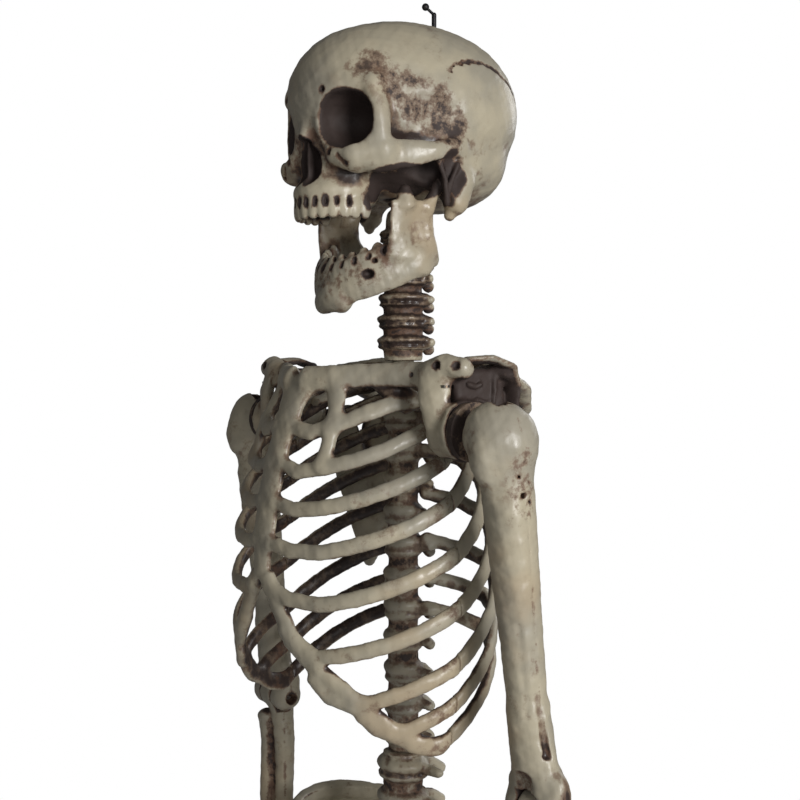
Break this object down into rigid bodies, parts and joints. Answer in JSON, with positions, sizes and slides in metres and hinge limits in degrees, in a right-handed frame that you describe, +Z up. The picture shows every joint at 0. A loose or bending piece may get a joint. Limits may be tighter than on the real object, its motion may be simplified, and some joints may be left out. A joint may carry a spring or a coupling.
{
  "type": "halloween skeleton figure",
  "caption": "Life-size posable plastic human skeleton with hinged jaw, neck, waist and limbs, hung from a hook in its crown.",
  "frame": {"origin": "top of the hook's bend above the crown, where the figure hangs", "axes": "+Z up, +X to the figure's left, -Y to its front"},
  "size_m": [0.372, 0.241, 1.5414],
  "materials": {
    "bone_plastic": "aged ivory moulding with a dark brown wash rubbed into its hollows, satin",
    "blackened_steel": "blackened wire",
    "screw_steel": "plated, dull"
  },
  "bodies": {
    "skull": {"skull_shell": "bone_plastic", "skull_base": "bone_plastic", "hanging_hook": "blackened_steel", "hook_fasteners": "blackened_steel", "jaw_pivot_screws": "screw_steel", "nod_pin": "screw_steel"},
    "jaw": {"mandible": "bone_plastic"},
    "neck": {"cervical_column": "bone_plastic"},
    "trunk": {"rear_rib_shell": "bone_plastic", "front_rib_shell": "bone_plastic", "scapula_left": "bone_plastic", "scapula_right": "bone_plastic", "shoulder_roof_screws": "screw_steel"},
    "pelvis": {"pelvis": "bone_plastic", "lumbar_column": "bone_plastic"},
    "shoulder_left": {"shoulder_hub_left": "bone_plastic"},
    "upper_arm_left": {"humerus_front_left": "bone_plastic", "humerus_rear_left": "bone_plastic", "humerus_screws_left": "screw_steel", "shoulder_pin_left": "screw_steel", "elbow_pin_left": "screw_steel"},
    "forearm_left": {"forearm_front_left": "bone_plastic", "forearm_rear_left": "bone_plastic", "forearm_screws_left": "screw_steel", "wrist_pin_left": "screw_steel"},
    "hand_left": {"hand_left": "bone_plastic"},
    "hip_left": {"hip_hub_left": "bone_plastic"},
    "thigh_left": {"femur_front_left": "bone_plastic", "femur_rear_left": "bone_plastic", "femur_screws_left": "screw_steel", "hip_pin_left": "screw_steel", "knee_pin_left": "screw_steel"},
    "shin_left": {"shin_front_left": "bone_plastic", "shin_rear_left": "bone_plastic", "shin_screws_left": "screw_steel", "ankle_pin_left": "screw_steel"},
    "foot_left": {"foot_left": "bone_plastic"},
    "shoulder_right": {"shoulder_hub_right": "bone_plastic"},
    "upper_arm_right": {"humerus_front_right": "bone_plastic", "humerus_rear_right": "bone_plastic", "humerus_screws_right": "screw_steel", "shoulder_pin_right": "screw_steel", "elbow_pin_right": "screw_steel"},
    "forearm_right": {"forearm_front_right": "bone_plastic", "forearm_rear_right": "bone_plastic", "forearm_screws_right": "screw_steel", "wrist_pin_right": "screw_steel"},
    "hand_right": {"hand_right": "bone_plastic"},
    "hip_right": {"hip_hub_right": "bone_plastic"},
    "thigh_right": {"femur_front_right": "bone_plastic", "femur_rear_right": "bone_plastic", "femur_screws_right": "screw_steel", "hip_pin_right": "screw_steel", "knee_pin_right": "screw_steel"},
    "shin_right": {"shin_front_right": "bone_plastic", "shin_rear_right": "bone_plastic", "shin_screws_right": "screw_steel", "ankle_pin_right": "screw_steel"},
    "foot_right": {"foot_right": "bone_plastic"}
  },
  "joints": [
    {"name": "jaw_open", "type": "hinge", "parent": "skull", "child": "jaw", "pos_m": [0, -0.033, -0.137], "axis": [1, 0, 0], "range_deg": [-16, 8]},
    {"name": "head_nod", "type": "hinge", "parent": "skull", "child": "neck", "pos_m": [0, -0.028, -0.154], "axis": [1, 0, 0], "range_deg": [-12, 14]},
    {"name": "head_turn", "type": "hinge", "parent": "neck", "child": "trunk", "pos_m": [0, -0.028, -0.253], "axis": [0, 0, 1], "range_deg": [-60, 60]},
    {"name": "waist_turn", "type": "hinge", "parent": "trunk", "child": "pelvis", "pos_m": [0, -0.028, -0.546], "axis": [0, 0, 1], "range_deg": [-45, 45]},
    {"name": "shoulder_swing_left", "type": "hinge", "parent": "trunk", "child": "shoulder_left", "pos_m": [0.155, -0.066, -0.304], "axis": [-1, 0, 0], "range_deg": [-40, 150]},
    {"name": "shoulder_raise_left", "type": "hinge", "parent": "shoulder_left", "child": "upper_arm_left", "pos_m": [0.155, -0.066, -0.304], "axis": [0, -0.9945, -0.1045], "range_deg": [0, 90]},
    {"name": "elbow_bend_left", "type": "hinge", "parent": "upper_arm_left", "child": "forearm_left", "pos_m": [0.167, -0.04144, -0.53771], "axis": [-1, 0, 0], "range_deg": [-6, 110]},
    {"name": "wrist_bend_left", "type": "hinge", "parent": "forearm_left", "child": "hand_left", "pos_m": [0.167, -0.04144, -0.72771], "axis": [-1, 0, 0], "range_deg": [-50, 50]},
    {"name": "hip_swing_left", "type": "hinge", "parent": "pelvis", "child": "hip_left", "pos_m": [0.076, -0.033, -0.704], "axis": [-1, 0, 0], "range_deg": [-25, 85]},
    {"name": "hip_spread_left", "type": "hinge", "parent": "hip_left", "child": "thigh_left", "pos_m": [0.076, -0.033, -0.704], "axis": [0, -1, 0], "range_deg": [0, 17]},
    {"name": "knee_bend_left", "type": "hinge", "parent": "thigh_left", "child": "shin_left", "pos_m": [0.08, -0.033, -1.096], "axis": [1, 0, 0], "range_deg": [0, 110]},
    {"name": "ankle_bend_left", "type": "hinge", "parent": "shin_left", "child": "foot_left", "pos_m": [0.076, -0.033, -1.464], "axis": [-1, 0, 0], "range_deg": [-30, 20]},
    {"name": "shoulder_swing_right", "type": "hinge", "parent": "trunk", "child": "shoulder_right", "pos_m": [-0.155, -0.066, -0.304], "axis": [-1, 0, 0], "range_deg": [-40, 150]},
    {"name": "shoulder_raise_right", "type": "hinge", "parent": "shoulder_right", "child": "upper_arm_right", "pos_m": [-0.155, -0.066, -0.304], "axis": [0, 0.9945, 0.1045], "range_deg": [0, 90]},
    {"name": "elbow_bend_right", "type": "hinge", "parent": "upper_arm_right", "child": "forearm_right", "pos_m": [-0.167, -0.04144, -0.53771], "axis": [-1, 0, 0], "range_deg": [-6, 110]},
    {"name": "wrist_bend_right", "type": "hinge", "parent": "forearm_right", "child": "hand_right", "pos_m": [-0.167, -0.04144, -0.72771], "axis": [-1, 0, 0], "range_deg": [-50, 50]},
    {"name": "hip_swing_right", "type": "hinge", "parent": "pelvis", "child": "hip_right", "pos_m": [-0.076, -0.033, -0.704], "axis": [-1, 0, 0], "range_deg": [-25, 85]},
    {"name": "hip_spread_right", "type": "hinge", "parent": "hip_right", "child": "thigh_right", "pos_m": [-0.076, -0.033, -0.704], "axis": [0, 1, 0], "range_deg": [0, 17]},
    {"name": "knee_bend_right", "type": "hinge", "parent": "thigh_right", "child": "shin_right", "pos_m": [-0.08, -0.033, -1.096], "axis": [1, 0, 0], "range_deg": [0, 110]},
    {"name": "ankle_bend_right", "type": "hinge", "parent": "shin_right", "child": "foot_right", "pos_m": [-0.076, -0.033, -1.464], "axis": [-1, 0, 0], "range_deg": [-30, 20]}
  ]
}
